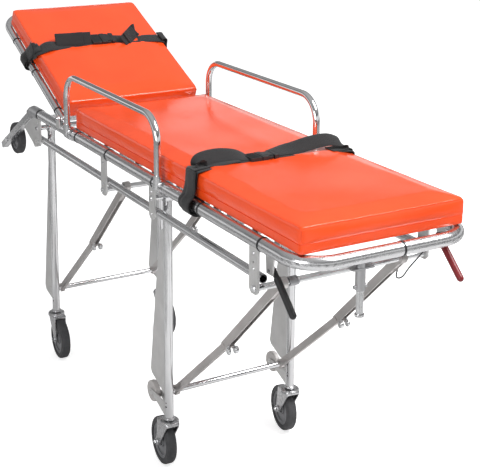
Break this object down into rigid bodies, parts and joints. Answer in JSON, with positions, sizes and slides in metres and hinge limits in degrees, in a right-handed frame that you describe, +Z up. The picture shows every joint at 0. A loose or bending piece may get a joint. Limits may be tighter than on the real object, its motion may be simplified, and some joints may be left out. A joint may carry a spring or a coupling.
{
  "type": "stretcher trolley",
  "caption": "Folding-leg ambulance stretcher on casters, with a raising backrest, side guards, loading wheels and straps.",
  "frame": {"origin": "on the floor, midway along the stretcher and midway between its side tubes", "axes": "+X to the foot end, +Y to the patient's left, +Z up"},
  "size_m": [2.2429, 0.58, 1.2962],
  "materials": {
    "satin_tube": "satin anodised tube",
    "polished_tube": "polished tube",
    "grey_plate": "matt plate",
    "cast_alloy": "cast and shot-blasted",
    "link_grey": "dull extruded bar",
    "zinc_plate": "bright zinc plate",
    "polished_steel": "plated steel",
    "spring_steel": "drawn wire",
    "black_plastic": "moulded",
    "black_grip": "dipped grip",
    "red_grip": "dipped grip",
    "tyre_rubber": "solid dark grey tyre",
    "hub_plastic": "moulded grey",
    "roller_plastic": "moulded grey",
    "orange_vinyl": "glossy coated fabric over foam",
    "black_webbing": "woven polyester webbing"
  },
  "bodies": {
    "deck": {"main_rail_near": "satin_tube", "main_rail_far": "satin_tube", "foot_bow": "satin_tube", "tube_rings": "black_plastic", "lower_rails": "satin_tube", "hangers": "grey_plate", "release_spring": "spring_steel", "cross_members": "satin_tube", "deck_sheet": "grey_plate", "release_cable": "black_plastic", "head_knees": "cast_alloy", "loading_arms": "satin_tube", "arm_gussets": "grey_plate", "hinge_brackets": "grey_plate", "shafts_and_pins": "polished_steel", "main_pad": "orange_vinyl", "lap_strap": "black_webbing", "lap_buckle": "black_plastic", "locking_peg": "polished_steel", "peg_bracket": "cast_alloy"},
    "backrest": {"back_frame": "satin_tube", "back_rings": "black_plastic", "back_slats": "satin_tube", "back_sheet": "grey_plate", "back_pad": "orange_vinyl", "chest_strap": "black_webbing", "chest_buckle": "black_plastic"},
    "guard_near": {"side_guard_near": "polished_tube"},
    "guard_far": {"side_guard_far": "polished_tube"},
    "lever_near": {"release_lever_near": "black_grip"},
    "lever_far": {"release_lever_far": "red_grip"},
    "head_leg_pair": {"head_legs": "polished_tube", "head_fins": "grey_plate"},
    "mid_leg_pair": {"mid_legs": "polished_tube", "mid_fins": "grey_plate", "roller_brackets": "grey_plate"},
    "head_lower_brace": {"head_lower_links": "link_grey"},
    "head_upper_brace": {"head_upper_links": "link_grey", "head_lock_knobs": "polished_steel"},
    "mid_lower_brace": {"mid_lower_links": "link_grey"},
    "mid_upper_brace": {"mid_upper_links": "link_grey", "mid_lock_knobs": "polished_steel"},
    "caster_head_near": {"fork_head_near": "zinc_plate"},
    "wheel_head_near": {"tyre_head_near": "tyre_rubber", "hub_head_near": "hub_plastic"},
    "caster_head_far": {"fork_head_far": "zinc_plate"},
    "wheel_head_far": {"tyre_head_far": "tyre_rubber", "hub_head_far": "hub_plastic"},
    "caster_mid_near": {"fork_mid_near": "zinc_plate"},
    "wheel_mid_near": {"tyre_mid_near": "tyre_rubber", "hub_mid_near": "hub_plastic"},
    "caster_mid_far": {"fork_mid_far": "zinc_plate"},
    "wheel_mid_far": {"tyre_mid_far": "tyre_rubber", "hub_mid_far": "hub_plastic"},
    "loading_wheel_near": {"tyre_loader_near": "tyre_rubber", "hub_loader_near": "hub_plastic"},
    "roller_near": {"leg_roller_near": "roller_plastic"},
    "loading_wheel_far": {"tyre_loader_far": "tyre_rubber", "hub_loader_far": "hub_plastic"},
    "roller_far": {"leg_roller_far": "roller_plastic"}
  },
  "joints": [
    {"name": "backrest_hinge", "type": "hinge", "parent": "deck", "child": "backrest", "pos_m": [-0.464, 0, 0.976], "axis": [0, 1, 0], "range_deg": [-23, 51]},
    {"name": "guard_near_fold", "type": "hinge", "parent": "deck", "child": "guard_near", "pos_m": [-0.02, -0.259, 0.942], "axis": [1, 0, 0], "range_deg": [0, 150]},
    {"name": "guard_far_fold", "type": "hinge", "parent": "deck", "child": "guard_far", "pos_m": [-0.02, 0.259, 0.942], "axis": [-1, 0, 0], "range_deg": [0, 150]},
    {"name": "lever_near_pull", "type": "hinge", "parent": "deck", "child": "lever_near", "pos_m": [0.922, -0.234, 0.873], "axis": [0, -1, 0], "range_deg": [0, 22], "stiffness_Nm_per_rad": 1.5},
    {"name": "lever_far_pull", "type": "hinge", "parent": "deck", "child": "lever_far", "pos_m": [0.998, 0.234, 0.91], "axis": [0, -1, 0], "range_deg": [0, 22], "stiffness_Nm_per_rad": 1.5},
    {"name": "head_leg_fold", "type": "hinge", "parent": "deck", "child": "head_leg_pair", "pos_m": [-0.681, 0, 0.895], "axis": [0, -1, 0], "range_deg": [0, 75]},
    {"name": "head_lower_brace_fold", "type": "hinge", "parent": "head_leg_pair", "child": "head_lower_brace", "pos_m": [-0.691, 0, 0.255], "axis": [0, -1, 0], "range_deg": [0, 58]},
    {"name": "head_upper_brace_fold", "type": "hinge", "parent": "deck", "child": "head_upper_brace", "pos_m": [-0.076, 0, 0.822], "axis": [0, -1, 0], "range_deg": [-37, 0]},
    {"name": "mid_leg_fold", "type": "hinge", "parent": "deck", "child": "mid_leg_pair", "pos_m": [0.292, 0, 0.895], "axis": [0, -1, 0], "range_deg": [0, 75]},
    {"name": "mid_lower_brace_fold", "type": "hinge", "parent": "mid_leg_pair", "child": "mid_lower_brace", "pos_m": [0.282, 0, 0.255], "axis": [0, -1, 0], "range_deg": [0, 58]},
    {"name": "mid_upper_brace_fold", "type": "hinge", "parent": "deck", "child": "mid_upper_brace", "pos_m": [0.897, 0, 0.822], "axis": [0, -1, 0], "range_deg": [-37, 0]},
    {"name": "swivel_head_near", "type": "hinge", "parent": "head_leg_pair", "child": "caster_head_near", "pos_m": [-0.681, -0.222, 0.164], "axis": [0, 0, 1], "continuous": true},
    {"name": "roll_head_near", "type": "hinge", "parent": "caster_head_near", "child": "wheel_head_near", "pos_m": [-0.63606, -0.22435, 0.075], "axis": [-0.0523, -0.9986, 0], "continuous": true},
    {"name": "swivel_head_far", "type": "hinge", "parent": "head_leg_pair", "child": "caster_head_far", "pos_m": [-0.681, 0.222, 0.164], "axis": [0, 0, 1], "continuous": true},
    {"name": "roll_head_far", "type": "hinge", "parent": "caster_head_far", "child": "wheel_head_far", "pos_m": [-0.63606, 0.21965, 0.075], "axis": [-0.0523, -0.9986, 0], "continuous": true},
    {"name": "swivel_mid_near", "type": "hinge", "parent": "mid_leg_pair", "child": "caster_mid_near", "pos_m": [0.292, -0.222, 0.164], "axis": [0, 0, 1], "continuous": true},
    {"name": "roll_mid_near", "type": "hinge", "parent": "caster_mid_near", "child": "wheel_mid_near", "pos_m": [0.24711, -0.21886, 0.075], "axis": [0.0698, 0.9976, 0], "continuous": true},
    {"name": "swivel_mid_far", "type": "hinge", "parent": "mid_leg_pair", "child": "caster_mid_far", "pos_m": [0.292, 0.222, 0.164], "axis": [0, 0, 1], "continuous": true},
    {"name": "roll_mid_far", "type": "hinge", "parent": "caster_mid_far", "child": "wheel_mid_far", "pos_m": [0.24733, 0.22748, 0.075], "axis": [0.1219, 0.9925, 0], "continuous": true},
    {"name": "roll_loader_near", "type": "hinge", "parent": "deck", "child": "loading_wheel_near", "pos_m": [-1.05, -0.226, 0.76883], "axis": [0, 1, 0], "continuous": true},
    {"name": "roll_leg_near", "type": "hinge", "parent": "mid_leg_pair", "child": "roller_near", "pos_m": [0.184, -0.222, 0.217], "axis": [0, 1, 0], "continuous": true},
    {"name": "roll_loader_far", "type": "hinge", "parent": "deck", "child": "loading_wheel_far", "pos_m": [-1.05, 0.226, 0.76883], "axis": [0, 1, 0], "continuous": true},
    {"name": "roll_leg_far", "type": "hinge", "parent": "mid_leg_pair", "child": "roller_far", "pos_m": [0.184, 0.222, 0.217], "axis": [0, 1, 0], "continuous": true}
  ],
  "couplings": [
    {"joint": "head_lower_brace_fold", "follows": "head_leg_fold", "ratio": 0.7695},
    {"joint": "head_upper_brace_fold", "follows": "head_leg_fold", "ratio": -0.4914},
    {"joint": "mid_lower_brace_fold", "follows": "mid_leg_fold", "ratio": 0.7695},
    {"joint": "mid_upper_brace_fold", "follows": "mid_leg_fold", "ratio": -0.4914}
  ]
}
